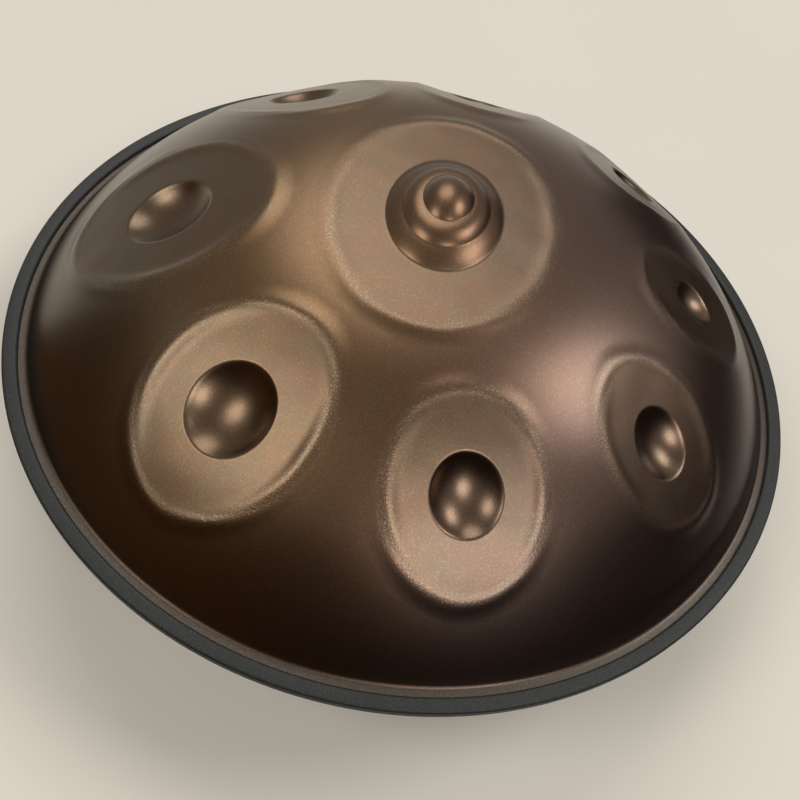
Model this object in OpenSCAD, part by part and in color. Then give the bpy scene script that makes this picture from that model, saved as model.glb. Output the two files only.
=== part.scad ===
// Handpan: two drawn steel shells, glued flange to flange and bound with a rubber edge trim.
// The origin is on the floor under the middle of the pan, and +Z is up.
// Tone fields are numbered in the order of their azimuths, counted from +X towards +Y.

/* [Shells] */
// Diameter over the steel flanges
flange_d = 534; // [500:1:600]
// Width of the flat flange, from the foot of the dome to its edge
flange_w = 12; // [10:0.5:16]
// Thickness of the steel sheet
wall = 1.1; // [0.8:0.1:1.4]
// Rise of the playing shell above its flange
ding_shell_h = 107; // [95:1:125]
// Radius of the level crown of the playing shell, before its fields are flattened
ding_crown_r = 46; // [38:1:54]
// Depth of the lower shell below its flange
gu_shell_h = 105; // [85:1:125]
// Width of the level ring that the pan rests on, round the port's roll
rest_ring_w = 8; // [4:0.5:16]

/* [Port] */
// Diameter inside the neck of the port
port_d = 100; // [70:1:130]
// Height of the neck's edge above the floor
neck_h = 28; // [18:1:45]
// Outside radius of the roll from the rest ring into the neck
roll_r = 6; // [4:0.5:10]

/* [Tone fields] */
// Azimuths of tone fields 1 to 4, in degrees
field_az_1_4 = [6.5, 46, 89, 132]; // [0:0.5:180]
// Azimuths of tone fields 5 to 8, in degrees
field_az_5_8 = [187, 240, 286, 328.5]; // [180:0.5:360]
// Distances of tone fields 1 to 4 from the axis
field_ring_1_4 = [173, 187, 178, 180]; // [165:1:190]
// Distances of tone fields 5 to 8 from the axis
field_ring_5_8 = [168, 174, 174, 183]; // [165:1:190]
// Lengths of tone fields 1 to 4, along the radius
field_len_1_4 = [99, 108, 120, 134]; // [80:1:145]
// Lengths of tone fields 5 to 8, along the radius
field_len_5_8 = [141, 130, 114, 108]; // [80:1:145]
// Widths of tone fields 1 to 4, across the radius
field_wid_1_4 = [77, 88, 96, 114]; // [66:1:120]
// Widths of tone fields 5 to 8, across the radius
field_wid_5_8 = [117, 103, 87, 83]; // [66:1:120]

/* [Dimples] */
// Lengths of the dimples in tone fields 1 to 4
dimple_len_1_4 = [36, 46, 52, 60]; // [30:1:66]
// Lengths of the dimples in tone fields 5 to 8
dimple_len_5_8 = [61, 57, 48, 46]; // [30:1:66]
// Widths of the dimples in tone fields 1 to 4
dimple_wid_1_4 = [31, 40, 44, 52]; // [26:1:58]
// Widths of the dimples in tone fields 5 to 8
dimple_wid_5_8 = [53, 51, 41, 39]; // [26:1:58]
// Depths of the dimples in tone fields 1 to 4
dimple_depth_1_4 = [7, 8.5, 9.5, 10.5]; // [5:0.5:13]
// Depths of the dimples in tone fields 5 to 8
dimple_depth_5_8 = [10.5, 10.5, 9.5, 8.5]; // [5:0.5:13]
// Height of a dimple's full width above its field, which sets how steep its edge is
dimple_lift = 14; // [10:1:24]

/* [Ding] */
// Length of the central field, along Y
ding_field_len = 178; // [160:1:190]
// Width of the central field, along X
ding_field_wid = 134; // [124:1:146]
// Length of the ding's base, along Y
ding_len = 94; // [80:1:104]
// Width of the ding's base, along X
ding_wid = 70; // [64:1:76]
// Width of the ding at its middle crease
ding_mid_wid = 52; // [46:1:56]
// Width of the ding's knob at its crease
knob_wid = 30; // [26:1:34]
// Height of the ding's lowest tier
ding_base_h = 5.5; // [4:0.5:6]
// Height of the ding's middle tier
ding_mid_h = 5.5; // [4.5:0.5:6]
// Height of the ding's knob
knob_h = 7; // [6:0.5:9]
// Slope at the foot of the two lower tiers, in degrees
tier_slope = 52; // [46:1:58]

/* [Seam and trim] */
// Thickness of the glue between the flanges
glue_t = 0.4; // [0.2:0.1:1]
// Distance that the glue stops short of both edges of the flange
glue_inset = 0.5; // [0.2:0.1:2]
// Height of the edge trim
trim_h = 8; // [6:0.5:12]
// Width of the edge trim, from its outside to the edges of its lips
trim_w = 9.5; // [7:0.5:11]
// Thickness of the trim's web outside the flanges
trim_web = 2.8; // [2:0.1:4]
// Radius of the trim's outside corners
trim_round = 2; // [1:0.1:2.5]
// Gap between the flanges' edge and the trim's web
trim_gap = 0.2; // [0.1:0.1:0.5]
// Gap between the two ends of the trim strip
trim_butt = 0.6; // [0.3:0.1:2]
// Azimuth of the joint between the trim's ends, in degrees
trim_joint_az = 90; // [0:5:355]

/* [Hidden] */
$fn = 128;
steel_upper = [0.42, 0.33, 0.25];
steel_lower = [0.38, 0.30, 0.23];
glue_colour = [0.78, 0.72, 0.58];
rubber = [0.16, 0.17, 0.18];

field_az = concat(field_az_1_4, field_az_5_8);
field_ring = concat(field_ring_1_4, field_ring_5_8);
field_len = concat(field_len_1_4, field_len_5_8);
field_wid = concat(field_wid_1_4, field_wid_5_8);
dimple_len = concat(dimple_len_1_4, dimple_len_5_8);
dimple_wid = concat(dimple_wid_1_4, dimple_wid_5_8);
dimple_depth = concat(dimple_depth_1_4, dimple_depth_5_8);

flange_r = flange_d / 2;
foot_r = flange_r - flange_w;
port_r = port_d / 2;
rest_ring_r = port_r + roll_r + rest_ring_w;

// Levels above the floor
gu_flange_z = gu_shell_h;
glue_z = gu_flange_z + wall;
ding_flange_z = glue_z + glue_t;
seam_z = glue_z + glue_t / 2;

// How far cuts run past the faces that they open, and past the borders of a field
over = 1;
field_margin = 8;
// How far the ding runs down below its field, and how far the fill of a tier stays under the tier's top
ding_root = 12;
tier_skin = 0.1;

// Radius of the arc that starts level at radius level_r and rises rise to the foot of a shell
function side_r(level_r, rise) = (pow(foot_r - level_r, 2) + pow(rise, 2)) / (2 * rise);
// Height of an arc of radius r over half a chord
function sag(r, half) = r - sqrt(r * r - half * half);
// Radius of the arc that has a given sag over half a chord
function sag_r(s, half) = (s * s + half * half) / (2 * s);

ding_side_r = side_r(ding_crown_r, ding_shell_h);
gu_side_r = side_r(rest_ring_r, gu_shell_h);
// Height of the crown above the underside of the upper flange
crown_z = wall + ding_shell_h;

// Slope of the dome at a distance from the axis
function dome_slope(r) = asin((r - ding_crown_r) / ding_side_r);
function dome_z(r) = crown_z - sag(ding_side_r, r - ding_crown_r);

// A field is level across the radius, and sinks below the dome by the dome's own sag over its half width
function field_sink(i) = sag(field_ring[i] / sin(dome_slope(field_ring[i])), field_wid[i] / 2);
// Along the radius it bends just enough to meet the dome at both ends of its length
function field_bend_r(i) =
    sag_r(sag(ding_side_r, field_len[i] / 2) - field_sink(i), field_len[i] / 2);

ding_field_z = dome_z(ding_field_wid / 2);
ding_bend_r = sag_r(ding_field_z - dome_z(ding_field_len / 2), ding_field_len / 2);

// A tier is an arc from the edge of its own foot, at tier_slope, to the foot of the next tier
function tier_rise(w0, w1, h) = atan2(2 * h, w0 - w1);
function tier_r(w0, w1, h) =
    norm([(w0 - w1) / 2, h]) / (2 * sin(tier_slope - tier_rise(w0, w1, h)));
function tier_centre(w0, z, r) = [w0 / 2 - r * sin(tier_slope), z - r * cos(tier_slope)];

base_r = tier_r(ding_wid, ding_mid_wid, ding_base_h);
mid_r = tier_r(ding_mid_wid, knob_wid, ding_mid_h);
knob_r = sag_r(knob_h, knob_wid / 2);
knob_top = ding_base_h + ding_mid_h + knob_h;
tier_arcs = [
    [tier_centre(ding_wid, 0, base_r), base_r],
    [tier_centre(ding_mid_wid, ding_base_h, mid_r), mid_r],
    [[0, knob_top - knob_r], knob_r]
];

// Half of the section of the solid dome, with its surface moved in by inset
module dome_section(inset) {
    crown = crown_z - inset;
    translate([0, -over])
        square([ding_crown_r, crown + over]);
    intersection() {
        translate([ding_crown_r, crown_z - ding_side_r])
            circle(ding_side_r - inset);
        translate([ding_crown_r - over, -over])
            square([foot_r, crown + 2 * over]);
    }
}

// Stands its children on the dome at a tone field, with X down the slope and Z out of the surface
module at_field(i) {
    r = field_ring[i];
    rotate([0, 0, field_az[i]])
        translate([r, 0, dome_z(r)])
            rotate([0, dome_slope(r), 0])
                children();
}

// What is pressed away above a field that bends along its length, which lies along X
module flattening(len, wid, sink, bend_r, inset) {
    x = len + 2 * field_margin;
    y = wid + 2 * field_margin;
    low = sink + inset + sag(bend_r, x / 2) + over;
    difference() {
        translate([-x / 2, -y / 2, -low])
            cube([x, y, low + 2 * over]);
        translate([0, 0, -sink - bend_r])
            rotate([90, 0, 0])
                cylinder(r = bend_r - inset, h = y + 2 * over, center = true);
    }
}

// The oval bowl of a dimple: its section at the field has the dimple's length and width
module dimple_bowl(i, inset) {
    tall = dimple_depth[i] + dimple_lift;
    widening = 1 / sqrt(1 - pow(dimple_lift / tall, 2));
    half = [dimple_len[i] / 2 * widening + inset, dimple_wid[i] / 2 * widening + inset, tall + inset];
    translate([0, 0, dimple_lift - field_sink(i)])
        scale(half)
            rotate([90, 0, 0])
                sphere(1);
}

// Half of the section of the stepped ding, from below its field to its top
module ding_section(inset) {
    intersection() {
        union() {
            for (arc = tier_arcs) {
                translate(arc[0])
                    circle(arc[1] - inset);
                top = arc[0][1] + arc[1] - inset - tier_skin;
                translate([0, -ding_root])
                    square([max(arc[0][0], over), ding_root + top]);
            }
        }
        translate([0, -ding_root])
            square([ding_wid, ding_root + knob_top + over]);
    }
}

module ding_boss(inset) {
    translate([0, 0, ding_field_z])
        scale([1, ding_len / ding_wid, 1])
            rotate_extrude()
                ding_section(inset);
}

// The solid that a face of the playing shell bounds, moved in by inset
module ding_form(inset) {
    difference() {
        rotate_extrude()
            dome_section(inset);
        translate([0, 0, crown_z])
            rotate([0, 0, 90])
                flattening(ding_field_len, ding_field_wid, crown_z - ding_field_z, ding_bend_r, inset);
        for (i = [0 : len(field_az) - 1])
            at_field(i) {
                flattening(field_len[i], field_wid[i], field_sink(i), field_bend_r(i), inset);
                dimple_bowl(i, inset);
            }
    }
    ding_boss(inset);
}

// Playing shell: one sheet with the ding, the tone fields and a flat flange
module ding_shell() {
    color(steel_upper)
        translate([0, 0, ding_flange_z])
            difference() {
                union() {
                    intersection() {
                        ding_form(0);
                        cylinder(r = flange_r, h = crown_z + knob_top + over);
                    }
                    cylinder(r = flange_r, h = wall);
                }
                ding_form(wall);
            }
}

// Half of the section of the solid bowl, standing on its rest ring
module gu_section(inset) {
    top = gu_flange_z + wall + inset;
    translate([0, inset])
        square([rest_ring_r, top - inset]);
    intersection() {
        translate([rest_ring_r, gu_side_r])
            circle(gu_side_r - inset);
        translate([rest_ring_r - over, 0])
            square([foot_r, top]);
    }
}

// Half of the section of the sheet that rolls up from the rest ring into the neck
module neck_section() {
    mid = [port_r + roll_r, roll_r];
    intersection() {
        difference() {
            translate(mid)
                circle(roll_r);
            translate(mid)
                circle(roll_r - wall);
        }
        translate([port_r, 0])
            square(roll_r);
    }
    translate([port_r, roll_r])
        square([wall, neck_h - roll_r]);
}

// Lower shell: one sheet with the port's neck, the rest ring and a flat flange
module gu_shell() {
    color(steel_lower)
        rotate_extrude() {
            difference() {
                union() {
                    gu_section(0);
                    translate([0, gu_flange_z])
                        square([flange_r, wall]);
                }
                gu_section(wall);
                square([port_r + roll_r, roll_r]);
            }
            neck_section();
        }
}

// Glue bead, cured as a thin flat ring between the flanges
module seam_adhesive() {
    color(glue_colour)
        translate([0, 0, glue_z])
            difference() {
                cylinder(r = flange_r - glue_inset, h = glue_t);
                translate([0, 0, -over])
                    cylinder(r = foot_r + glue_inset, h = glue_t + 2 * over);
            }
}

// Section of the trim: a channel with round outside corners, open towards the axis
module trim_section() {
    out_r = flange_r + trim_gap + trim_web;
    stack = 2 * wall + glue_t;
    difference() {
        union() {
            translate([out_r - trim_w, trim_round - trim_h / 2])
                square([trim_w, trim_h - 2 * trim_round]);
            translate([out_r - trim_w + trim_round, -trim_h / 2])
                square([trim_w - 2 * trim_round, trim_h]);
            for (x = [out_r - trim_w + trim_round, out_r - trim_round])
                for (z = [-1, 1])
                    translate([x, z * (trim_h / 2 - trim_round)])
                        circle(trim_round);
        }
        translate([out_r - trim_w - over, -stack / 2])
            square([trim_w + over - trim_web, stack]);
    }
}

// Edge trim: a rubber channel strip, pushed over both flanges, whose ends meet at the back.
// It runs both ways round from the joint, half a turn each.
module edge_trim() {
    half_gap = asin(trim_butt / 2 / flange_r);
    color(rubber)
        translate([0, 0, seam_z])
            for (start = [half_gap, 180])
                rotate([0, 0, trim_joint_az + start])
                    rotate_extrude(angle = 180 - half_gap)
                        trim_section();
}

ding_shell();
gu_shell();
seam_adhesive();
edge_trim();
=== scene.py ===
# %% [markdown]
# # A handpan, from its drawn shells to its studio picture
#
# A handpan is two steel shells glued rim to rim. The upper one carries a stepped dome in the
# middle, the ding, and a ring of oval tone fields with a dimple in each. The exact solids come
# from the frame, and this lesson builds the looks round them: smooth sheet-metal meshes, a
# nitrided finish and a rubber trim. Everything is modelled in millimetres and made metres at the
# end, because that is how a maker measures.

# %% Load the frame
import math

import bmesh
import bpy
from mathutils import Matrix, Vector, noise


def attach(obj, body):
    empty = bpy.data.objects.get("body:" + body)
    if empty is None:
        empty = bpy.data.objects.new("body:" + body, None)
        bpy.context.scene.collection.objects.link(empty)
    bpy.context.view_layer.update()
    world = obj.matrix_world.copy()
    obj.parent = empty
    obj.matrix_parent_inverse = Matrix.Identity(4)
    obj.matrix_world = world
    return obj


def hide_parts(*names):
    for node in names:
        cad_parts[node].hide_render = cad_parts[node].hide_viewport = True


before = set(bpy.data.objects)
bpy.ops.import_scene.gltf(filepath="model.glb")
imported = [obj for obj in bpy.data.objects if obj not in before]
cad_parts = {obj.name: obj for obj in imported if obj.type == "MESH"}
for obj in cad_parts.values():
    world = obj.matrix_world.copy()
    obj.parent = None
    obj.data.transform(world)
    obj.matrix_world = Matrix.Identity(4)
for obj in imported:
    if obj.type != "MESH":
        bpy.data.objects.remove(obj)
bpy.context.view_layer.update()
MM = 0.001
scene = bpy.context.scene
scene.view_settings.view_transform = "Standard"

# %% [markdown]
# ## The camera
#
# The photograph was taken by hand from above the near edge, so the camera is close, wide and a
# little rolled. The picture is a square cut from the lower part of a taller frame, which means
# that the lens's own middle lies below the middle of the picture. A camera shift says exactly
# that, so no second tilt has to be made up for it.

# %% Camera
PICTURE = 800
LENS_MIDDLE = (400, 500)
CAMERA_PLACE = Vector((0, -389.89, 534.14))
CAMERA_TURN = (29.585, -8.762, 11.322)

lens = bpy.data.cameras.new("photo_camera")
lens.sensor_width = 36
lens.lens = 36
lens.shift_x = (PICTURE / 2 - LENS_MIDDLE[0]) / PICTURE
lens.shift_y = (LENS_MIDDLE[1] - PICTURE / 2) / PICTURE
lens.clip_start = 0.01
camera = bpy.data.objects.new("photo_camera", lens)
camera.location = CAMERA_PLACE * MM
camera.rotation_euler = [math.radians(a) for a in CAMERA_TURN]
scene.collection.objects.link(camera)
scene.camera = camera
print("camera shift:", lens.shift_x, lens.shift_y)

# %% [markdown]
# ## The sizes
#
# These are the same sizes that the solids are made from. The dome is level as far as its crown
# radius, then falls along one arc to its foot, where it meets the flat flange.

# %% Sizes in millimetres
FLANGE_R = 267
FOOT_R = 255
WALL = 1.1
GU_DEPTH = 105
GLUE = 0.4
DING_FLANGE_Z = GU_DEPTH + WALL + GLUE
FLANGE_TOP = DING_FLANGE_Z + WALL
DOME_RISE = 107
CROWN_R = 46
CROWN_Z = FLANGE_TOP + DOME_RISE
FOOT_FILLET = 4


def sag(radius, half):
    """Height of an arc of that radius over half a chord."""
    return radius - math.sqrt(radius * radius - half * half)


def sag_radius(height, half):
    """Radius of the arc that has that height over half a chord."""
    return (height * height + half * half) / (2 * height)


DOME_R = sag_radius(DOME_RISE, FOOT_R - CROWN_R)


def dome_z(r):
    return CROWN_Z - sag(DOME_R, max(r - CROWN_R, 0))


def dome_slope(r):
    return math.asin(max(r - CROWN_R, 0) / DOME_R)


print("arc of the dome, mm:", round(DOME_R, 1))
print("slope at its foot, degrees:", round(math.degrees(dome_slope(FOOT_R)), 1))

# %% [markdown]
# ## The dome, spun from a line
#
# A shell like this is drawn or hydroformed, so its bare form is a surface of revolution. A line of
# points along its section, spun once round, is the shortest way to that form. The foot of the dome
# gets a small fillet, because sheet steel can't be bent to a sharp inside corner. The line starts
# at the crown radius and not on the axis: the ding fills the middle later, with a net of faces of
# its own, as each field does.

# %% Lines, arcs and spins


def line(bm, points):
    """A chain of edges through points given as (radius, height)."""
    verts = [bm.verts.new((r, 0, z)) for r, z in points]
    edges = [bm.edges.new(pair) for pair in zip(verts, verts[1:])]
    return verts + edges


def spin_round(bm, geom, steps, angle=math.tau):
    whole = abs(angle - math.tau) < 1e-6
    bmesh.ops.spin(bm, geom=geom, cent=(0, 0, 0), axis=(0, 0, 1), dvec=(0, 0, 0),
                   angle=angle, steps=steps, use_merge=whole, use_duplicate=False)
    bmesh.ops.remove_doubles(bm, verts=bm.verts, dist=1e-4)


def arc(middle, radius, start, end, count):
    """Points on an arc, from one angle to another, in degrees."""
    turns = [math.radians(start + (end - start) * k / count) for k in range(count + 1)]
    return [(middle[0] + radius * math.cos(a), middle[1] + radius * math.sin(a)) for a in turns]


halves = arc((0, 0), 1, 0, 90, 2)
print("a quarter arc in two steps:", [(round(r, 2), round(z, 2)) for r, z in halves])

# %% Spin the dome
RING_STEP = 3.8
DOME_STEPS = 300
FILLET_STEPS = 6
FLANGE_RING = 5
FLANGE_BAND = 0.4

arc_middle = (CROWN_R, CROWN_Z - DOME_R)
fillet_z = FLANGE_TOP + FOOT_FILLET
fillet_rise = fillet_z - arc_middle[1]
fillet_r = CROWN_R + math.sqrt((DOME_R + FOOT_FILLET) ** 2 - fillet_rise ** 2)
foot_turn = math.degrees(math.atan2(fillet_rise, fillet_r - CROWN_R))
dome_count = round(math.radians(90 - foot_turn) * DOME_R / RING_STEP)
section = arc(arc_middle, DOME_R, 90, foot_turn, dome_count)
section += arc((fillet_r, fillet_z), FOOT_FILLET, 180 + foot_turn, 270, FILLET_STEPS)[1:]
section += [(FOOT_R + FLANGE_RING, FLANGE_TOP), (FLANGE_R, FLANGE_TOP)]

shell = bmesh.new()
# Layers that the finish reads later: hammered fields, their borders, dimples and the flange
in_field = shell.verts.layers.float.new("field")
on_ridge = shell.verts.layers.float.new("ridge")
in_dimple = shell.verts.layers.float.new("dimple")
on_flange = shell.verts.layers.float.new("flange")
spin_round(shell, line(shell, section), DOME_STEPS)
for v in shell.verts:
    v[on_flange] = 1 if v.co.z < FLANGE_TOP + FLANGE_BAND else 0
print("dome:", len(shell.faces), "faces")

# %% [markdown]
# ## A tone field
#
# A field is hammered flat inside an oval border and keeps only a slight bend down the slope. The
# border stands up as a soft bead: at the field's sides the sheet climbs to it, and at its ends the
# sheet falls away from it. The bead is hammered by hand, so a slow noise moves it about and makes
# it higher and lower. In the middle the dimple drops away over a crisp edge. Mesh lines that run
# along the oval and along the dimple's edge show these shapes best. So each field is a flat disc,
# spun from a spoke, whose rings are then stretched to the two ovals and lifted onto the surface.

# %% The border of a field
BEAD_HEIGHT = 0.24
BEAD_WIDTH = 3.8
GROOVE = 9
CLIMB_END = 1
FALL_START = -1.5
BORDER_MARGIN = 10
EVEN_RISE = 0.6
WOBBLE = 1.3
WOBBLE_SIZE = 22


def smooth_step(low, high, x):
    t = min(max((x - low) / (high - low), 0), 1)
    return t * t * (3 - 2 * t)


def from_border(u, v, half_len, half_wid):
    """Distance from an oval border, less than 0 inside it."""
    reach = math.hypot(u, v)
    share = math.hypot(u / half_len, v / half_wid)
    return reach - reach / share if share > 1e-6 else -half_wid


def unsteady(point):
    """A slow noise from about -1 to 1, for a border that is drawn out by hand."""
    return noise.noise(point / WOBBLE_SIZE)


def hand_drawn(border, hand, rings_out):
    """A distance from the border, moved by the hand's noise outside the dimple or ding."""
    return border + WOBBLE * hand * min(max(rings_out, 0), 1)


def bead(border):
    """1 on the border of a field, falling to 0 a few millimetres away."""
    return math.exp(-((border / BEAD_WIDTH) ** 2))


def to_dome(border, rise):
    """From 0 on a field to 1 on the dome: a climb inside the border, or a fall outside it."""
    climb = smooth_step(-GROOVE, CLIMB_END, border)
    fall = smooth_step(FALL_START, BORDER_MARGIN, border)
    return fall + (climb - fall) * smooth_step(-EVEN_RISE, EVEN_RISE, rise)


def sheet_height(flat, dome, border, hand):
    """Height of the sheet, from the flat of a field over its bead to the dome."""
    rise = dome - flat
    return flat + rise * to_dome(border, rise) + BEAD_HEIGHT * bead(border) * (1 + hand)


print("a bead stands", BEAD_HEIGHT, "mm high over about", 2 * BEAD_WIDTH, "mm")

# %% The inside of a field
SUNK_SHARE = 0.15
BEND_SHARE = 0.62
# from worked to not worked, in millimetres from the border
WORKED_FADE = (-3, 1)
LIFT_ROUNDS = 6


def field_dip(share, sunk=SUNK_SHARE):
    """How far a field lies under its own sides, as a share of the dome's drop at its ends."""
    return sunk + BEND_SHARE * share * share


def worked_area(border):
    """1 inside a field, fading to 0 at its border."""
    return 1 - smooth_step(*WORKED_FADE, border)


def soft_min(a, b, width):
    """The lower of two heights, with the edge between them rounded over."""
    near = max(width - abs(a - b), 0) / width
    return min(a, b) - near * near * width / 4


def dome_lift(place, u, v):
    """Height of the dome over a field's own plane, closed in on round by round."""
    w = 0
    for _ in range(LIFT_ROUNDS):
        point = place @ Vector((u, v, w))
        r = math.hypot(point.x, point.y)
        w -= (point.z - dome_z(r)) * math.cos(dome_slope(r))
    return w


print("a field lies", SUNK_SHARE, "of the dome's drop under its sides, at its ends",
      round(field_dip(1), 2))

# %% [markdown]
# The spoke's rings crowd together where the surface turns quickly: at the dimple's edge, at ring
# number 1, and at the border, at ring number 2. Ring 3 lies just outside, on the plain dome. The
# net that they make takes the place of the dome's own faces: those are cut out, and a bridge of
# faces closes the gap.

# %% Rings of a field
FIELD_RINGS = [0.1, 0.2, 0.3, 0.4, 0.5, 0.6, 0.7, 0.78, 0.85, 0.9, 0.94, 0.965, 0.985, 1,
               1.012, 1.025, 1.045, 1.075, 1.12, 1.19, 1.28, 1.38, 1.49, 1.6, 1.7, 1.78,
               1.84, 1.88, 1.91, 1.94, 1.97, 2, 2.15, 2.3, 2.45, 2.65, 3]
FIELD_STEPS = 84


def disc(bm, rings, steps):
    """A round net of faces whose rings lie at the given radii, in the plane of X and Y."""
    known = set(bm.verts)
    spoke = line(bm, [(0, 0)] + [(ring, 0) for ring in rings])
    bmesh.ops.spin(bm, geom=spoke, cent=(0, 0, 0), axis=(0, 0, 1), dvec=(0, 0, 0),
                   angle=math.tau, steps=steps, use_merge=True, use_duplicate=False)
    new = [v for v in bm.verts if v not in known]
    bmesh.ops.remove_doubles(bm, verts=new, dist=1e-5)
    return [v for v in bm.verts if v not in known]


def between(stops, ring):
    """Half a size at a ring: stops holds the half size at ring 0, 1, 2 and so on."""
    k = min(int(ring), len(stops) - 2)
    return stops[k] + (stops[k + 1] - stops[k]) * (ring - k)


print(len(FIELD_RINGS), "rings of", FIELD_STEPS, "steps to a field")

# %% Cut out and sew in
CUT_MARGIN = BORDER_MARGIN + 1.8
SEW_REACH = BORDER_MARGIN + 14
SAME_SIDE = -60
SEW_ROUNDS = 2


def near_oval(point, local, half_len, half_wid, reach):
    """Whether a point lies inside an oval or near it, and not on the far side of the shell."""
    p = local @ point
    return p.z > SAME_SIDE and from_border(p.x, p.y, half_len, half_wid) < reach


def cut_out(bm, local, half_len, half_wid):
    """Removes the dome's faces inside an oval and a margin round it."""
    gone = [f for f in bm.faces
            if near_oval(f.calc_center_median(), local, half_len, half_wid, CUT_MARGIN)]
    bmesh.ops.delete(bm, geom=gone, context="FACES")


def sew_in(bm, disc_verts, local, half_len, half_wid):
    """Joins a field's outer ring to the edge of the hole that was cut for it."""
    own = set(disc_verts)
    edges = [e for e in bm.edges if e.is_boundary and
             near_oval((e.verts[0].co + e.verts[1].co) / 2, local, half_len, half_wid, SEW_REACH)]
    hole = list({v for e in edges for v in e.verts} - own)
    for _ in range(SEW_ROUNDS):
        bmesh.ops.smooth_vert(bm, verts=hole, factor=0.5,
                              use_axis_x=True, use_axis_y=True, use_axis_z=True)
        for v in hole:
            v.co.z = dome_z(math.hypot(v.co.x, v.co.y))
    return bmesh.ops.bridge_loops(bm, edges=edges)["faces"]


print("holes reach", CUT_MARGIN, "mm past a border")

# %% [markdown]
# ## Eight fields round the ring
#
# Each field has its own direction, distance from the axis, length, width and dimple, because its
# size decides its note. The largest lies at the left, and they grow smaller round both sides. The
# dimple is part of a flattened ball that is pushed in from above the field, so its wall meets the
# field at a steep angle.

# %% Make the fields
# direction in degrees, distance, length, width, dimple length, dimple width, dimple depth
FIELDS = [
    (6.5, 173, 99, 77, 36, 31, 7),
    (46, 187, 108, 88, 46, 40, 8.5),
    (89, 178, 120, 96, 52, 44, 9.5),
    (132, 180, 134, 114, 60, 52, 10.5),
    (187, 168, 141, 117, 61, 53, 10.5),
    (240, 174, 130, 103, 57, 51, 10.5),
    (286, 174, 114, 87, 48, 41, 9.5),
    (328.5, 183, 108, 83, 46, 39, 8.5),
]
RIM_ROUND = 1.5
DIMPLE_LIFT = 14
# from dimple to field, in ring numbers
DIMPLE_FADE = (0.94, 1.02)


def make_field(bm, direction, distance, length, width, dimple_len, dimple_wid, depth):
    # The field's own X runs down the slope, its Y round the pan and its Z straight out of the dome
    slope = dome_slope(distance)
    place = (Matrix.Rotation(math.radians(direction), 4, "Z")
             @ Matrix.Translation((distance, 0, dome_z(distance)))
             @ Matrix.Rotation(slope, 4, "Y"))
    half_len, half_wid = length / 2, width / 2
    # How far the dome has fallen at the field's sides, and how much further at its ends
    sink = sag(distance / math.sin(slope), half_wid)
    drop = sag(DOME_R, half_len) - sink
    # The dimple's ball has its middle above the field, and is as wide as the dimple down on it
    tall = depth + DIMPLE_LIFT
    widening = 1 / math.sqrt(1 - (DIMPLE_LIFT / tall) ** 2)
    bowl_len, bowl_wid = dimple_len / 2 * widening, dimple_wid / 2 * widening
    along = [0, dimple_len / 2, half_len, half_len + BORDER_MARGIN]
    across = [0, dimple_wid / 2, half_wid, half_wid + BORDER_MARGIN]

    cut_out(bm, place.inverted(), half_len, half_wid)
    verts = disc(bm, FIELD_RINGS, FIELD_STEPS)
    for v in verts:
        ring, turn = v.co.length, math.atan2(v.co.y, v.co.x)
        u, w = between(along, ring) * math.cos(turn), between(across, ring) * math.sin(turn)
        hand = unsteady(place @ Vector((u, w, 0)))
        border = hand_drawn(from_border(u, w, half_len, half_wid), hand, ring - 1)
        flat = -sink - drop * field_dip(u / half_len)
        height = sheet_height(flat, dome_lift(place, u, w), border, hand)
        depth_share = (u / bowl_len) ** 2 + (w / bowl_wid) ** 2
        if depth_share < 1:
            bowl = DIMPLE_LIFT - sink - tall * math.sqrt(1 - depth_share)
            height = soft_min(height, bowl, RIM_ROUND)
        v[in_field] = worked_area(border)
        v[on_ridge] = bead(border)
        v[in_dimple] = 1 - smooth_step(*DIMPLE_FADE, ring)
        v.co = place @ Vector((u, w, height))
    return sew_in(bm, verts, place.inverted(), half_len, half_wid)


for number, sizes in enumerate(FIELDS, 1):
    strip = make_field(shell, *sizes)
    print("field", number, "sewn in with", len(strip), "faces")

# %% [markdown]
# ## The ding
#
# The ding is pushed up in three rounded tiers, each an arc that starts steeply and meets the foot
# of the next one in a crisp crease. It is longer front to back than it is wide, and it stands in
# an oval field of its own. Its rings are numbered the same way: 1, 2 and 3 are the creases, 4 the
# border of its field.

# %% Tiers of the ding
TIER_WIDTHS = (70, 52, 30)
# The knob is a hair under the solid's 7, so that the new mesh stays in its box
TIER_HEIGHTS = (5.5, 5.5, 6.99)
TIER_SLOPES = (40, 52)
# From this share of its radius on, an arc gives way to a steep straight line down
ARC_SHARE, ARC_LEFT, STEEP = 0.97, 0.243, 4


def tier_arc(width, next_width, height, foot, slope):
    """Middle and radius of a tier's arc, which leaves its foot at a slope in degrees."""
    step = Vector(((width - next_width) / 2, height))
    slope = math.radians(slope)
    radius = step.length / (2 * math.sin(slope - math.atan2(step.y, step.x)))
    middle = (width / 2 - radius * math.sin(slope), foot - radius * math.cos(slope))
    return middle, radius


def tier_height(tier, s):
    """Height of a tier at a half width s, level inside the middle of its arc."""
    (middle_s, middle_z), radius = tier
    out = max(s - middle_s, 0)
    if out < radius * ARC_SHARE:
        return middle_z + math.sqrt(radius * radius - out * out)
    return middle_z + radius * ARC_LEFT - STEEP * (out - radius * ARC_SHARE)


knob_radius = sag_radius(TIER_HEIGHTS[2], TIER_WIDTHS[2] / 2)
TIERS = [
    tier_arc(TIER_WIDTHS[0], TIER_WIDTHS[1], TIER_HEIGHTS[0], 0, TIER_SLOPES[0]),
    tier_arc(TIER_WIDTHS[1], TIER_WIDTHS[2], TIER_HEIGHTS[1], TIER_HEIGHTS[0], TIER_SLOPES[1]),
    ((0, sum(TIER_HEIGHTS) - knob_radius), knob_radius),
]
print("radii of the tiers' arcs, mm:", [round(radius, 1) for _, radius in TIERS])

# %% Make the ding
DING_FIELD = (178, 134)
DING_SUNK = 0.08
DING_STRETCH = 94 / 70
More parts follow.
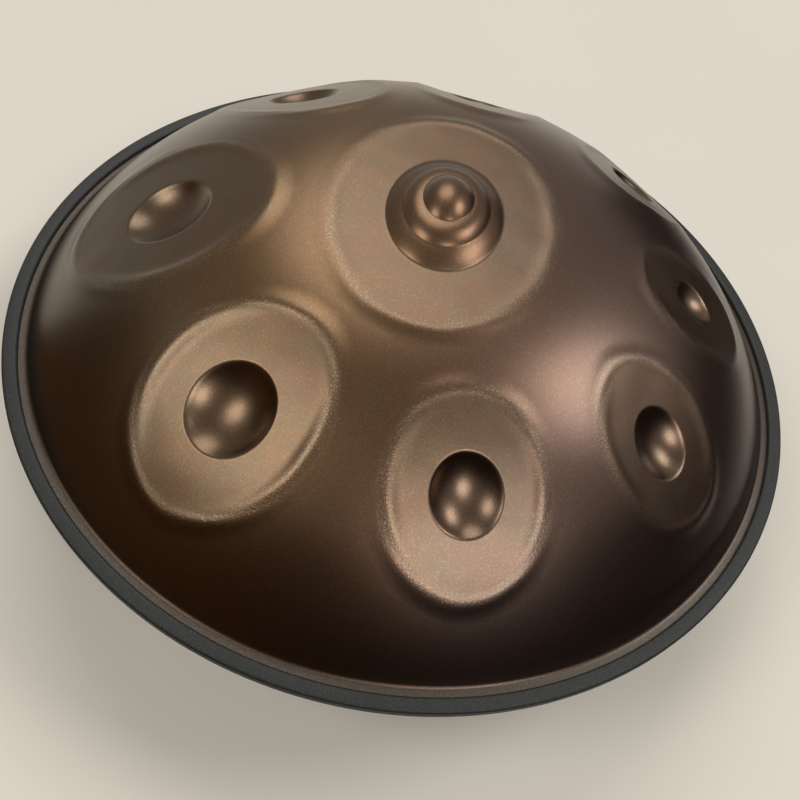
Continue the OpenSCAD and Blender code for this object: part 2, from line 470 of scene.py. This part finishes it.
# from ding to field, and as far as the tiers are looked at, in ring numbers
DING_FADE = (2.9, 3.03)
TIER_REACH = 3.4
CREASE_ROUND = 0.4
DING_STEPS = 112
CREASE_RINGS = [0.02, 0.05, 0.1, 0.2, 0.32, 0.46, 0.6, 0.74, 0.86, 0.93, 0.965, 0.985, 1]
DING_RINGS = ([0.12, 0.25, 0.38, 0.5, 0.62, 0.73, 0.82, 0.89, 0.94, 0.97, 0.985, 1]
              + [1 + k for k in CREASE_RINGS] + [2 + k for k in CREASE_RINGS]
              + [3.015, 3.035, 3.065, 3.11, 3.18, 3.28, 3.4, 3.53, 3.66, 3.77, 3.84, 3.88]
              + [3.91, 3.94, 3.97, 4, 4.15, 4.3, 4.45, 4.65, 5])


def make_ding(bm):
    half_len, half_wid = DING_FIELD[0] / 2, DING_FIELD[1] / 2
    level = dome_z(half_wid)
    drop = level - dome_z(half_len)
    knob, middle, base = (w / 2 for w in reversed(TIER_WIDTHS))
    across = [0, knob, middle, base, half_wid, half_wid + BORDER_MARGIN]
    along = [w * DING_STRETCH for w in across[:4]] + [half_len, half_len + BORDER_MARGIN]
    # Its field is longest along Y, so the oval's own X is turned that way
    turned = Matrix.Rotation(math.radians(-90), 4, "Z") @ Matrix.Translation((0, 0, -CROWN_Z))

    cut_out(bm, turned, half_len, half_wid)
    verts = disc(bm, DING_RINGS, DING_STEPS)
    for v in verts:
        ring, turn = v.co.length, math.atan2(v.co.y, v.co.x)
        x, y = between(across, ring) * math.cos(turn), between(along, ring) * math.sin(turn)
        hand = unsteady(Vector((x, y, 0)))
        border = hand_drawn(from_border(y, x, half_len, half_wid), hand, ring - 3)
        flat = level - drop * field_dip(y / half_len, DING_SUNK)
        height = sheet_height(flat, dome_z(math.hypot(x, y)), border, hand)
        s = math.hypot(x, y / DING_STRETCH)
        if ring < TIER_REACH:
            for tier in TIERS:
                height = -soft_min(-height, -(level + tier_height(tier, s)), CREASE_ROUND)
        v[in_field] = worked_area(border) * smooth_step(*DING_FADE, ring)
        v[on_ridge] = bead(border)
        v.co = Vector((x, y, height))
    return sew_in(bm, verts, turned, half_len, half_wid)


strip = make_ding(shell)
print("ding sewn in with", len(strip), "faces")
print("its top is at", round(max(v.co.z for v in shell.verts), 2), "mm")

# %% [markdown]
# ## Hammer work and wall thickness
#
# Tuning leaves the sheet faintly uneven, and more so inside the fields, where the hammer has been.
# Moving each point a tenth of a millimetre along its normal, by a smooth noise, gives the
# reflections that slow wobble. Only then does the sheet get its thickness, so both of its faces
# carry the same marks.

# %% Hammer and thicken
DRAW_WAVE = 0.07
DRAW_SIZE = 70
HAMMER_DEPTH = 0.16
HAMMER_SIZE = 20
HAMMER_PLACE = Vector((7, 3, 1))
CALM_FROM, CALM_TO = FOOT_R - 20, FOOT_R - 4


def close_up(bm):
    bmesh.ops.remove_doubles(bm, verts=bm.verts, dist=1e-3)
    bmesh.ops.recalc_face_normals(bm, faces=bm.faces)
    bm.normal_update()


def thicken(bm, thickness):
    """Gives an open sheet its thickness, away from the side that its normals point to."""
    top = max(v.co.z for v in bm.verts)
    bmesh.ops.solidify(bm, geom=bm.faces[:], thickness=thickness)
    return max(v.co.z for v in bm.verts) - top


close_up(shell)
moves = []
for v in shell.verts:
    calm = 1 - smooth_step(CALM_FROM, CALM_TO, math.hypot(v.co.x, v.co.y))
    wave = DRAW_WAVE * noise.noise(v.co / DRAW_SIZE)
    struck = HAMMER_DEPTH * v[in_field] * (1 - v[in_dimple])
    marks = struck * noise.noise(v.co / HAMMER_SIZE + HAMMER_PLACE)
    moves.append((v, v.normal * calm * (wave + marks)))
for v, move in moves:
    v.co += move
shell.normal_update()
print(sum(f.normal.z > 0 for f in shell.faces), "of", len(shell.faces), "faces look up")
print("open edges:", sum(e.is_boundary for e in shell.edges))

grown = thicken(shell, WALL)
print("sheet thickened; its top moved by", round(grown, 3), "mm")

# %% [markdown]
# ## The finish of the steel
#
# The shells are mild steel, nitrided: baked in ammonia until the surface is hard, which leaves a
# thin oxide film in bronze and brown that drifts to gold, plum and olive. It is a true metal, so
# Metallic is 1 and the IOR keeps its default. The satin comes from a fine even grain, and the
# hammered fields are a little lighter and coarser than the rest. Players wipe the steel with a
# thin oil against rust, and that is the light coat on top, which turns the highlights a little
# paler than the film.

# %% Colours and one node helper


def linear(code):
    """An sRGB hex colour as linear RGBA."""
    parts = [int(code[k:k + 2], 16) / 255 for k in (1, 3, 5)]
    return [p / 12.92 if p <= 0.04045 else ((p + 0.055) / 1.055) ** 2.4 for p in parts] + [1]


def add(tree, kind, sockets=None, **settings):
    """Adds one node. sockets maps an input to a value, or to an output of another node to link."""
    made = tree.nodes.new(kind)
    for name, value in settings.items():
        setattr(made, name, value)
    for name, value in (sockets or {}).items():
        if isinstance(value, bpy.types.NodeSocket):
            tree.links.new(value, made.inputs[name])
        else:
            made.inputs[name].default_value = value
    return made


def new_material(name):
    """An empty material with its output and its Object coordinates."""
    material = bpy.data.materials.new(name)
    material.use_nodes = True
    tree = material.node_tree
    tree.nodes.clear()
    output = add(tree, "ShaderNodeOutputMaterial")
    place = add(tree, "ShaderNodeTexCoord").outputs["Object"]
    return material, tree, output, place


def per_metre(size_mm):
    """Texture scale at which one feature is about that many millimetres across."""
    return 1 / (size_mm * MM)


print("bronze in linear light:", [round(c, 3) for c in linear("#7b6855")])

# %% Patterns of the steel
FILM_DRIFT = 150
MOTTLE = 9
PATCH = 24
# The real grain is a tenth of this size, and is drawn coarser so that it shows in the picture
GRAIN = 1.0

steel, tree, output, place = new_material("nitrided_mild_steel")
drift, mottle, patch, grain = (
    add(tree, "ShaderNodeTexNoise", {
        "Vector": place, "Scale": per_metre(size), "Detail": detail}).outputs["Fac"]
    for size, detail in ((FILM_DRIFT, 2.0), (MOTTLE, 4.0), (PATCH, 4.0), (GRAIN, 2.0)))
field, ridge, dimple, flange = (
    add(tree, "ShaderNodeAttribute", attribute_name=name).outputs["Fac"]
    for name in ("field", "ridge", "dimple", "flange"))
print("slowest drift of colour:", FILM_DRIFT, "mm; finest grain:", GRAIN, "mm")

# %% [markdown]
# The colour of the film follows its thickness, and that follows the heat of the oven. So it
# changes slowly across the whole pan: from left to right it goes from olive over gold and bronze
# to plum, and a broad noise lets that line wander.

# %% Colour of the film
# place from left to right in millimetres, colour
FILM = [(-190, "#5a4e3d"), (-100, "#684f31"), (0, "#664b36"), (90, "#624e44")]
FILM_WANDER = 160

side = add(tree, "ShaderNodeSeparateXYZ", {"Vector": place}).outputs["X"]
wander = add(tree, "ShaderNodeMath", {
    0: drift, 1: FILM_WANDER * MM, 2: side}, operation="MULTIPLY_ADD")
first, last = (FILM[k][0] + FILM_WANDER / 2 for k in (0, -1))
across_film = add(tree, "ShaderNodeMapRange", {
    "Value": wander.outputs[0], "From Min": first * MM, "From Max": last * MM})
film = add(tree, "ShaderNodeValToRGB", {"Fac": across_film.outputs[0]})
stops = film.color_ramp.elements
for k, (x, colour) in enumerate(FILM):
    share = (x - FILM[0][0]) / (FILM[-1][0] - FILM[0][0])
    stop = stops[k] if k < 2 else stops.new(share)
    stop.position = share
    stop.color = linear(colour)
print("the film has", len(stops), "colours")

# %% [markdown]
# Over the film lie the marks of the work, one after the other: the hammered fields with their
# olive and rosy patches, a painted highlight that makes the borders a little brighter, the pressed
# dimples, the greyer flange, and pale painted glints where the tips of the grain would catch the
# light. On the borders the grain is coarse and its painted glints are stronger.

# %% Marks of the work, with a painted highlight and painted glints
# The first share paints a highlight along the field borders; the glint shares paint pale glints on
# the grain
RIDGE_SHEEN, PRESSED = 0.15, 0.5
GLINT, RIDGE_GLINT = 0.3, 0.6

worked = add(tree, "ShaderNodeMath", {0: mottle, 1: field}, operation="MULTIPLY").outputs[0]
# A painted highlight that makes the field borders lighter
ridge_sheen = add(tree, "ShaderNodeMath", {0: ridge, 1: RIDGE_SHEEN}, operation="MULTIPLY").outputs[0]
pressed = add(tree, "ShaderNodeMath", {0: dimple, 1: PRESSED}, operation="MULTIPLY").outputs[0]
blotch = add(tree, "ShaderNodeMapRange", {"Value": patch, "From Min": 0.4, "From Max": 0.6})
tone = add(tree, "ShaderNodeMix", {
    0: blotch.outputs[0], 6: linear("#605441"), 7: linear("#67503d")}, data_type="RGBA").outputs[2]
# Pale glints painted on the tips of the grain, stronger on the field borders
glint = add(tree, "ShaderNodeMath", {
    0: ridge, 1: RIDGE_GLINT, 2: GLINT}, operation="MULTIPLY_ADD").outputs[0]
painted_glints = add(tree, "ShaderNodeMapRange", {
    "Value": grain, "From Min": 0.52, "From Max": 0.8, "To Max": glint}).outputs[0]
MARKS = [(worked, tone), (ridge_sheen, linear("#85745e")), (pressed, linear("#604c3b")),
         (flange, linear("#4d453e")), (painted_glints, linear("#948775"))]
colour = film.outputs[0]
for share, mark in MARKS:
    mixed = add(tree, "ShaderNodeMix", {0: share, 6: colour, 7: mark}, data_type="RGBA")
    colour = mixed.outputs[2]
print(len(MARKS), "marks over the film")

# %% Gloss and grain of the steel
SATIN = 0.33
TOOTH, RIDGE_TOOTH = 0.2, 0.7
TOOTH_DEPTH = 0.15

roughness = SATIN
for share, rougher in ((worked, 0.06), (dimple, -0.05), (flange, 0.12)):
    roughness = add(tree, "ShaderNodeMath", {
        0: share, 1: rougher, 2: roughness}, operation="MULTIPLY_ADD").outputs[0]
coarse = add(tree, "ShaderNodeMath", {
    0: ridge, 1: RIDGE_TOOTH, 2: TOOTH}, operation="MULTIPLY_ADD")
tooth = add(tree, "ShaderNodeBump", {
    "Strength": coarse.outputs[0], "Distance": TOOTH_DEPTH * MM, "Height": grain})
surface = add(tree, "ShaderNodeBsdfPrincipled", {
    "Base Color": colour, "Metallic": 1.0, "Roughness": roughness, "Normal": tooth.outputs[0],
    "Coat Weight": 0.45, "Coat Roughness": 0.32})
tree.links.new(surface.outputs[0], output.inputs[0])
print(steel.name, "has", len(tree.nodes), "nodes")

# %% [markdown]
# ## From bmesh to a piece
#
# Every new piece is finished the same way: scaled to metres, named, smoothed with its sharp edges
# kept and hung on the frame's root, and the plain solid that it stands for is hidden.

# %% Finish a piece
SHARP = math.radians(50)


def to_object(bm, name, material):
    mesh = bpy.data.meshes.new(name)
    bm.to_mesh(mesh)
    bm.free()
    mesh.materials.append(material)
    made = bpy.data.objects.new(name, mesh)
    scene.collection.objects.link(made)
    return made


def finish_piece(bm, name, material, node):
    bmesh.ops.scale(bm, vec=(MM, MM, MM), verts=bm.verts)
    piece = to_object(bm, name, material)
    mesh = piece.data
    mesh.shade_smooth()
    mesh.set_sharp_from_angle(angle=SHARP)
    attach(piece, "root")
    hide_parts(node)
    mesh.calc_loop_triangles()
    print(name, len(mesh.vertices), "points,", len(mesh.loop_triangles), "triangles")


finish_piece(shell, "playing_shell", steel, "ding_shell")

# %% [markdown]
# ## The lower shell
#
# The bowl underneath is plainer: a flange, one arc down to a level ring that the pan rests on, and
# a port whose edge is rolled inwards into a short neck. One line, spun and thickened, makes it
# all.

# %% Spin the lower shell
PORT_R = 50
ROLL = 6
REST_RING = 8
NECK_TOP = 28
NECK_RINGS = (12, 18, 24, NECK_TOP)
BOWL_RINGS = 48
ROLL_RINGS = 8
BOWL_STEPS = 180

ring_r = PORT_R + ROLL + REST_RING
bowl_radius = sag_radius(GU_DEPTH, FOOT_R - ring_r)
bowl_middle = (ring_r, bowl_radius)
bowl_fillet_z = GU_DEPTH - FOOT_FILLET
bowl_rise = bowl_fillet_z - bowl_radius
bowl_fillet_r = ring_r + math.sqrt((bowl_radius + FOOT_FILLET) ** 2 - bowl_rise ** 2)
bowl_turn = math.degrees(math.atan2(bowl_rise, bowl_fillet_r - ring_r))
section = [(FLANGE_R, GU_DEPTH), (FOOT_R + FLANGE_RING, GU_DEPTH)]
section += arc((bowl_fillet_r, bowl_fillet_z), FOOT_FILLET, 90, 180 + bowl_turn, FILLET_STEPS)
section += arc(bowl_middle, bowl_radius, bowl_turn, -90, BOWL_RINGS)[1:]
section += [(ring_r - REST_RING / 2, 0)]
section += arc((PORT_R + ROLL, ROLL), ROLL, 270, 180, ROLL_RINGS)
section += [(PORT_R, z) for z in NECK_RINGS]

bowl = bmesh.new()
spin_round(bowl, line(bowl, section), BOWL_STEPS)
close_up(bowl)
lowest = min(f.calc_center_median().z for f in bowl.faces)
print("bowl's lowest face is at", round(lowest, 2), "mm")
# An open bowl has no inside for the recalculation to go by, so its normals are turned out here
if sum(f.normal.z * f.calc_area() for f in bowl.faces) > 0:
    bmesh.ops.reverse_faces(bowl, faces=bowl.faces[:])
thicken(bowl, WALL)
finish_piece(bowl, "lower_shell", steel, "gu_shell")

# %% [markdown]
# ## The edge trim
#
# The trim is an extruded rubber channel, pushed over both flanges, with its ends butted at the
# back. Its section starts as eight corners. The four outside ones are bevelled round before the
# outline is spun.

# %% Spin the trim
SEAM_Z = GU_DEPTH + WALL + GLUE / 2
# A hair inside the solid's 270, so that the new mesh stays in its box
TRIM_OUT = 269.97
TRIM_WIDE = 9.5
TRIM_HIGH = 8
TRIM_WEB = 2.8
TRIM_ROUND = 2
TRIM_GAP = 0.6
TRIM_STEPS = 240

lip_r = TRIM_OUT - TRIM_WIDE
slot_r = TRIM_OUT - TRIM_WEB
slot_half = WALL + GLUE / 2
trim_half = TRIM_HIGH / 2
corners = [(lip_r, slot_half), (lip_r, trim_half), (TRIM_OUT, trim_half), (TRIM_OUT, -trim_half),
           (lip_r, -trim_half), (lip_r, -slot_half), (slot_r, -slot_half), (slot_r, slot_half)]

trim = bmesh.new()
outline = [trim.verts.new((r, 0, SEAM_Z + z)) for r, z in corners]
trim.faces.new(outline)
bmesh.ops.bevel(trim, geom=outline[1:5], offset=TRIM_ROUND, offset_type="OFFSET",
                affect="VERTICES", segments=7, profile=0.5, material=-1)
bmesh.ops.delete(trim, geom=trim.faces[:], context="FACES_ONLY")
half_gap = math.asin(TRIM_GAP / 2 / FLANGE_R)
first_end = Matrix.Rotation(math.pi / 2 + half_gap, 3, "Z")
bmesh.ops.rotate(trim, verts=trim.verts, cent=(0, 0, 0), matrix=first_end)
spin_round(trim, trim.verts[:] + trim.edges[:], TRIM_STEPS, math.tau - 2 * half_gap)
ends = bmesh.ops.holes_fill(trim, edges=[e for e in trim.edges if e.is_boundary], sides=0)["faces"]
bmesh.ops.recalc_face_normals(trim, faces=trim.faces)
print("trim has", len(trim.faces), "faces,", len(ends), "of them its cut ends")

# %% [markdown]
# The trim is black rubber, and its die leaves it dull with a fine pebble all over. To the eye that
# is an even slate grey, with pale glints painted on the tops of the pebbles where they would catch
# the light. It isn't a metal, so the colour is dark, the IOR is rubber's and the gloss is wide.

# %% Black rubber
# Real pebbles are about half this size, and are drawn coarser so that they show in the picture
PEBBLE = 1.1
PEBBLE_DEPTH = 0.15
DUST = 30

rubber, tree, output, place = new_material("black_rubber")
pebble = add(tree, "ShaderNodeTexVoronoi", {
    "Vector": place, "Scale": per_metre(PEBBLE)}).outputs["Distance"]
dust = add(tree, "ShaderNodeTexNoise", {
    "Vector": place, "Scale": per_metre(DUST), "Detail": 4.0})
black = add(tree, "ShaderNodeMix", {
    0: dust.outputs["Fac"], 6: linear("#121617"), 7: linear("#1b1f20")}, data_type="RGBA")
# Pale points painted on the tops of the pebbles, as glints of light
pebble_glints = add(tree, "ShaderNodeMapRange", {
    "Value": pebble, "From Min": 0.3, "From Max": 0.05, "To Max": 0.7})
shade = add(tree, "ShaderNodeMix", {
    0: pebble_glints.outputs[0], 6: black.outputs[2], 7: linear("#565c5c")}, data_type="RGBA")
skin = add(tree, "ShaderNodeBump", {
    "Strength": 0.5, "Distance": PEBBLE_DEPTH * MM, "Height": pebble})
surface = add(tree, "ShaderNodeBsdfPrincipled", {
    "Base Color": shade.outputs[2], "Roughness": 0.55, "IOR": 1.5, "Normal": skin.outputs[0]})
tree.links.new(surface.outputs[0], output.inputs[0])
finish_piece(trim, "rubber_trim", rubber, "edge_trim")

# %% [markdown]
# ## The glue
#
# The bead between the flanges hardly shows, so its solid from the frame stays and only gets a
# finish: cured glue, amber and slightly cloudy.

# %% Cured glue
CLOUD = 6

glue, tree, output, place = new_material("cured_glue")
cloud = add(tree, "ShaderNodeTexNoise", {
    "Vector": place, "Scale": per_metre(CLOUD), "Detail": 3.0})
amber = add(tree, "ShaderNodeMix", {
    0: cloud.outputs["Fac"], 6: linear("#b39a66"), 7: linear("#cdbb91")}, data_type="RGBA")
surface = add(tree, "ShaderNodeBsdfPrincipled", {
    "Base Color": amber.outputs[2], "Roughness": 0.45, "IOR": 1.5})
tree.links.new(surface.outputs[0], output.inputs[0])
bead_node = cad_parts["seam_adhesive"]
bead_node.data.materials.clear()
bead_node.data.materials.append(glue)
print("glue bead keeps its solid:", len(bead_node.data.polygons), "faces")

# %% [markdown]
# ## Floor and light
#
# The floor is a plain pale sheet. Four soft lamps hang in a ring, half way up the sky, as ceiling
# lamps do round somebody who stands in a room. Satin metal shows each of them as a broad glow, so
# these four places decide where the dome is bright. They are wide and far away, which lights the
# floor evenly. The room is pale where the camera or a reflection sees it, but adds only a dim
# fill, so the shadow on the floor stays.

# %% Floor
FLOOR_R = 12
FLOOR_CLOUD = 400

floor_material, tree, output, place = new_material("pale_floor")
cloud = add(tree, "ShaderNodeTexNoise", {
    "Vector": place, "Scale": per_metre(FLOOR_CLOUD), "Detail": 3.0})
pale = add(tree, "ShaderNodeMix", {
    0: cloud.outputs["Fac"], 6: linear("#dad6cc"), 7: linear("#e0dcd3")}, data_type="RGBA")
surface = add(tree, "ShaderNodeBsdfPrincipled", {"Base Color": pale.outputs[2], "Roughness": 0.9})
tree.links.new(surface.outputs[0], output.inputs[0])
ground = bmesh.new()
bmesh.ops.create_circle(ground, cap_ends=True, segments=96, radius=FLOOR_R)
floor = to_object(ground, "floor", floor_material)
print("floor:", 2 * FLOOR_R, "m across")

# %% Lights
MIDDLE = Vector((0, 0, 0.17))
LAMP_REACH = 12
LAMP_WHITE = "#fffcf8"
# direction in degrees, height in degrees, width in metres, power in watts
LAMPS = [(24, 48, 5, 395), (104.5, 51, 7.4, 422), (-156, 49, 5, 345), (-54, 46, 5.2, 450)]


def soft_light(name, position, aim, size, power, colour):
    lamp = bpy.data.lights.new(name, "AREA")
    lamp.shape = "DISK"
    lamp.size = size
    lamp.energy = power
    lamp.color = linear(colour)[:3]
    light = bpy.data.objects.new(name, lamp)
    light.location = position
    light.rotation_euler = (Vector(aim) - Vector(position)).to_track_quat("-Z", "Y").to_euler()
    scene.collection.objects.link(light)


for number, (direction, rise, width, power) in enumerate(LAMPS, 1):
    turn = (Matrix.Rotation(math.radians(direction), 3, "Z")
            @ Matrix.Rotation(math.radians(-rise), 3, "Y"))
    position = MIDDLE + turn @ Vector((LAMP_REACH, 0, 0))
    soft_light("lamp_%d" % number, position, MIDDLE, width, power, LAMP_WHITE)
    print("lamp", number, "at", [round(c, 2) for c in position])

# %% Room
ROOM_FILL, ROOM_PALE = 0.28, 0.46

room = bpy.data.worlds.new("pale_room")
room.use_nodes = True
tree = room.node_tree
tree.nodes.clear()
rays = add(tree, "ShaderNodeLightPath").outputs
seen = rays["Is Camera Ray"]
for kind in ("Is Glossy Ray", "Is Transmission Ray"):
    seen = add(tree, "ShaderNodeMath", {0: seen, 1: rays[kind]}, operation="MAXIMUM").outputs[0]
glow = add(tree, "ShaderNodeMapRange", {"Value": seen, "To Min": ROOM_FILL, "To Max": ROOM_PALE})
air = add(tree, "ShaderNodeBackground", {"Color": linear("#e0d6cb"), "Strength": glow.outputs[0]})
add(tree, "ShaderNodeOutputWorld", {"Surface": air.outputs[0]})
scene.world = room
print("room fills at", ROOM_FILL, "and shows at", ROOM_PALE)

# %% [markdown]
# A photographer often stands a dark card just outside the picture, so that a shiny flank reflects
# the card and not the pale floor. This one curves round the near side and the right, and its left
# end is a warmer brown. Only reflections see it: no camera does, and it casts no shadow.

# %% Dark card
CARD_MIDDLE = Vector((0.06, 0.13, 0))
CARD_R = 0.53
CARD_FOOT, CARD_HEIGHT = 0.001, 0.34
CARD_FROM, CARD_TO = math.radians(194), math.radians(425)
CARD_STEPS = 60
# the left end is brown as far as the first of these, and dark from the second
CARD_FADE = (-0.3, 0.02)

card_material, tree, output, place = new_material("dark_card")
card_side = add(tree, "ShaderNodeSeparateXYZ", {"Vector": place}).outputs["X"]
fade = add(tree, "ShaderNodeMapRange", {
    "Value": card_side, "From Min": CARD_FADE[0], "From Max": CARD_FADE[1]})
shade = add(tree, "ShaderNodeMix", {
    0: fade.outputs[0], 6: linear("#755130"), 7: linear("#240b08")}, data_type="RGBA")
surface = add(tree, "ShaderNodeBsdfPrincipled", {"Base Color": shade.outputs[2], "Roughness": 1.0})
tree.links.new(surface.outputs[0], output.inputs[0])

sheet = bmesh.new()
edge = [sheet.verts.new((CARD_R, 0, z)) for z in (CARD_FOOT, CARD_HEIGHT)]
sheet.edges.new(edge)
bmesh.ops.rotate(sheet, verts=edge, cent=(0, 0, 0), matrix=Matrix.Rotation(CARD_FROM, 3, "Z"))
bmesh.ops.spin(sheet, geom=sheet.verts[:] + sheet.edges[:], cent=(0, 0, 0), axis=(0, 0, 1),
               dvec=(0, 0, 0), angle=CARD_TO - CARD_FROM, steps=CARD_STEPS, use_merge=False,
               use_duplicate=False)
bmesh.ops.translate(sheet, verts=sheet.verts, vec=CARD_MIDDLE)
card = to_object(sheet, "dark_card", card_material)
card.visible_camera = False
card.visible_shadow = False
card.visible_diffuse = False
print("dark card:", len(card.data.polygons), "faces")
